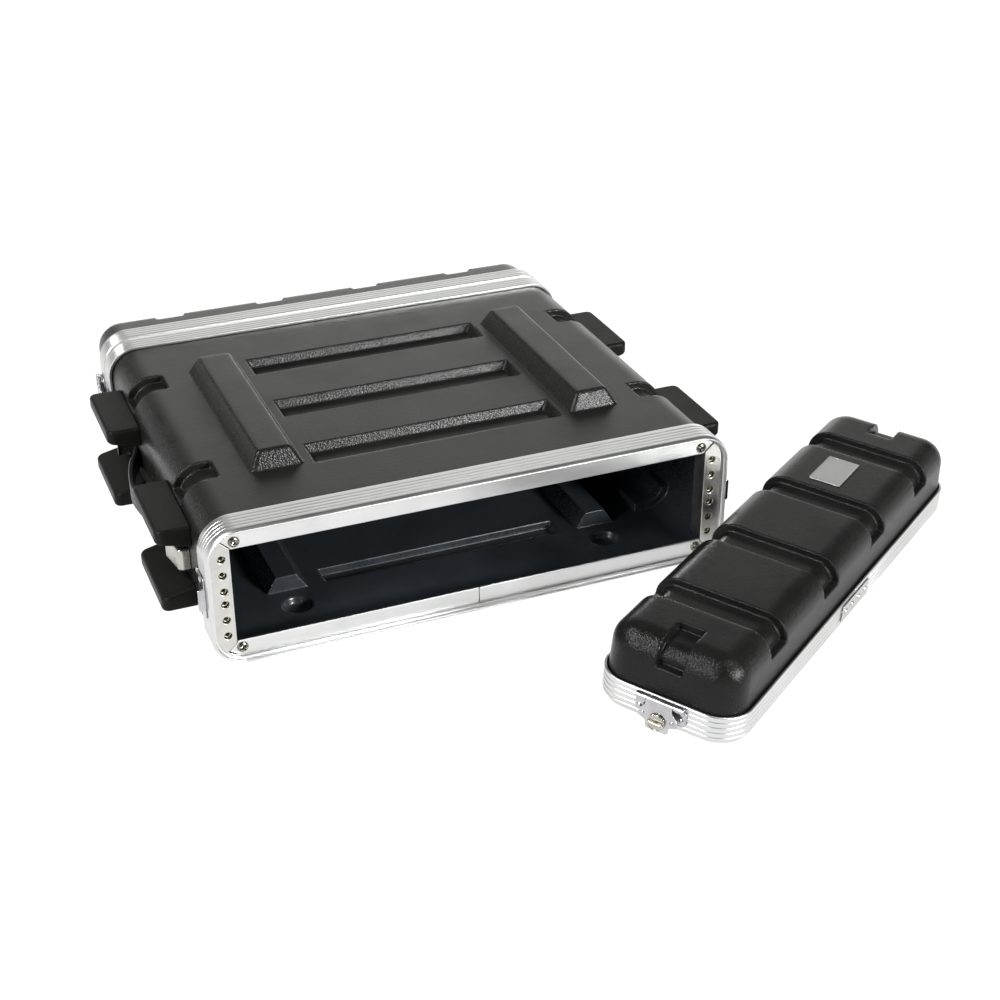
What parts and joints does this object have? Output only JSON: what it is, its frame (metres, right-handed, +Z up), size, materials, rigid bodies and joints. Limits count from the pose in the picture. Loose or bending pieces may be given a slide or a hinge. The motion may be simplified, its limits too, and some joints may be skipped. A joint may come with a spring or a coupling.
{
  "type": "equipment rack case",
  "caption": "Low moulded rack case for audio gear, with aluminium edge frames, drilled rack rails, strap handles, side bumpers and latched front and rear covers.",
  "frame": {"origin": "on the ground, below the middle of the whole object's footprint, with the front cover laid out in front of the case", "axes": "+Z up, +X to the right along the rack's width as seen from the front, +Y from the front rails to the rear cover"},
  "size_m": [0.7798, 0.7586, 0.1515],
  "materials": {
    "moulded_case": "black moulded plastic with a fine pebbled grain",
    "bumper": "matte black with soft rounded edges",
    "strap": "smooth semi-matte black with shallow grooves along it",
    "edge_aluminium": "satin anodised, with fine lines along the extrusion",
    "rail_steel": "warm bright zinc plating",
    "bright_fittings": "bright plated pressed steel",
    "nickel_fittings": "nickel plate, slightly dulled",
    "badge_plate": "blank brushed plate with no text"
  },
  "bodies": {
    "case": {"case_shell": "moulded_case", "front_frame": "edge_aluminium", "rear_frame": "edge_aluminium", "front_rail_left": "rail_steel", "front_rail_right": "rail_steel", "rear_rail_left": "rail_steel", "rear_rail_right": "rail_steel", "front_screw_upper_left": "nickel_fittings", "front_screw_upper_right": "nickel_fittings", "front_screw_lower_left": "nickel_fittings", "front_screw_lower_right": "nickel_fittings", "rear_screw_upper_left": "nickel_fittings", "rear_screw_upper_right": "nickel_fittings", "rear_screw_lower_left": "nickel_fittings", "rear_screw_lower_right": "nickel_fittings", "left_bumper_front_upper": "bumper", "left_bumper_front_lower": "bumper", "left_bumper_rear_upper": "bumper", "left_bumper_rear_lower": "bumper", "right_bumper_front_upper": "bumper", "right_bumper_front_lower": "bumper", "right_bumper_rear_upper": "bumper", "right_bumper_rear_lower": "bumper", "left_handle_strap": "strap", "left_handle_cap_front": "bright_fittings", "left_handle_cap_rear": "bright_fittings", "left_keeper_front": "nickel_fittings", "left_keeper_rear": "nickel_fittings", "right_handle_strap": "strap", "right_handle_cap_front": "bright_fittings", "right_handle_cap_rear": "bright_fittings", "right_keeper_front": "nickel_fittings", "right_keeper_rear": "nickel_fittings"},
    "rear_cover": {"rear_cover_shell": "moulded_case", "rear_cover_frame": "edge_aluminium", "rear_cover_joiner": "edge_aluminium", "rear_left_latch_base": "bright_fittings", "rear_right_latch_base": "bright_fittings"},
    "front_cover": {"front_cover_shell": "moulded_case", "front_cover_frame": "edge_aluminium", "front_cover_joiner": "edge_aluminium", "front_cover_badge": "badge_plate", "front_left_latch_base": "bright_fittings", "front_right_latch_base": "bright_fittings"},
    "front_left_hook_plate": {"front_left_hook_plate": "bright_fittings"},
    "front_left_turn_disc": {"front_left_turn_disc": "nickel_fittings"},
    "front_left_turn_wing": {"front_left_turn_wing": "nickel_fittings"},
    "front_right_hook_plate": {"front_right_hook_plate": "bright_fittings"},
    "front_right_turn_disc": {"front_right_turn_disc": "nickel_fittings"},
    "front_right_turn_wing": {"front_right_turn_wing": "nickel_fittings"},
    "rear_left_hook_plate": {"rear_left_hook_plate": "bright_fittings"},
    "rear_left_turn_disc": {"rear_left_turn_disc": "nickel_fittings"},
    "rear_left_turn_wing": {"rear_left_turn_wing": "nickel_fittings"},
    "rear_right_hook_plate": {"rear_right_hook_plate": "bright_fittings"},
    "rear_right_turn_disc": {"rear_right_turn_disc": "nickel_fittings"},
    "rear_right_turn_wing": {"rear_right_turn_wing": "nickel_fittings"}
  },
  "joints": [
    {"name": "rear_cover_pull_off", "type": "slide", "parent": "case", "child": "rear_cover", "axis": [0, 1, 0], "range_m": [0, 0.25]},
    {"name": "front_cover_lift", "type": "slide", "parent": "case", "child": "front_cover", "axis": [0, 0, 1], "range_m": [0, 0.3]},
    {"name": "front_left_hook_open", "type": "hinge", "parent": "front_cover", "child": "front_left_hook_plate", "pos_m": [-0.04405, -0.33876, 0.03297], "axis": [-0.5764, 0.8154, 0.0539], "range_deg": [0, 95]},
    {"name": "front_left_disc_turn", "type": "hinge", "parent": "front_left_hook_plate", "child": "front_left_turn_disc", "pos_m": [-0.04719, -0.33979, 0.01493], "axis": [-0.8163, -0.5776, 0.0084], "range_deg": [0, 180]},
    {"name": "front_left_wing_raise", "type": "hinge", "parent": "front_left_turn_disc", "child": "front_left_turn_wing", "pos_m": [-0.0498, -0.34164, 0.01495], "axis": [-0.5764, 0.8154, 0.0539], "range_deg": [0, 90]},
    {"name": "front_right_hook_open", "type": "hinge", "parent": "front_cover", "child": "front_right_hook_plate", "pos_m": [0.36622, -0.04849, 0.02876], "axis": [0.5764, -0.8154, -0.0539], "range_deg": [0, 95]},
    {"name": "front_right_disc_turn", "type": "hinge", "parent": "front_right_hook_plate", "child": "front_right_turn_disc", "pos_m": [0.36799, -0.04604, 0.01067], "axis": [0.8163, 0.5776, -0.0084], "range_deg": [0, 180]},
    {"name": "front_right_wing_raise", "type": "hinge", "parent": "front_right_turn_disc", "child": "front_right_turn_wing", "pos_m": [0.3706, -0.0442, 0.01064], "axis": [0.5764, -0.8154, -0.0539], "range_deg": [0, 90]},
    {"name": "rear_left_hook_open", "type": "hinge", "parent": "rear_cover", "child": "rear_left_hook_plate", "pos_m": [-0.3612, 0.33038, 0.0712], "axis": [0, 0, -1], "range_deg": [0, 95]},
    {"name": "rear_left_disc_turn", "type": "hinge", "parent": "rear_left_hook_plate", "child": "rear_left_turn_disc", "pos_m": [-0.3642, 0.31228, 0.0712], "axis": [-1, 0, 0], "range_deg": [0, 180]},
    {"name": "rear_left_wing_raise", "type": "hinge", "parent": "rear_left_turn_disc", "child": "rear_left_turn_wing", "pos_m": [-0.3674, 0.31228, 0.0712], "axis": [0, 0, -1], "range_deg": [0, 90]},
    {"name": "rear_right_hook_open", "type": "hinge", "parent": "rear_cover", "child": "rear_right_hook_plate", "pos_m": [0.1414, 0.33038, 0.0712], "axis": [0, 0, 1], "range_deg": [0, 95]},
    {"name": "rear_right_disc_turn", "type": "hinge", "parent": "rear_right_hook_plate", "child": "rear_right_turn_disc", "pos_m": [0.1444, 0.31228, 0.0712], "axis": [1, 0, 0], "range_deg": [0, 180]},
    {"name": "rear_right_wing_raise", "type": "hinge", "parent": "rear_right_turn_disc", "child": "rear_right_turn_wing", "pos_m": [0.1476, 0.31228, 0.0712], "axis": [0, 0, 1], "range_deg": [0, 90]}
  ]
}
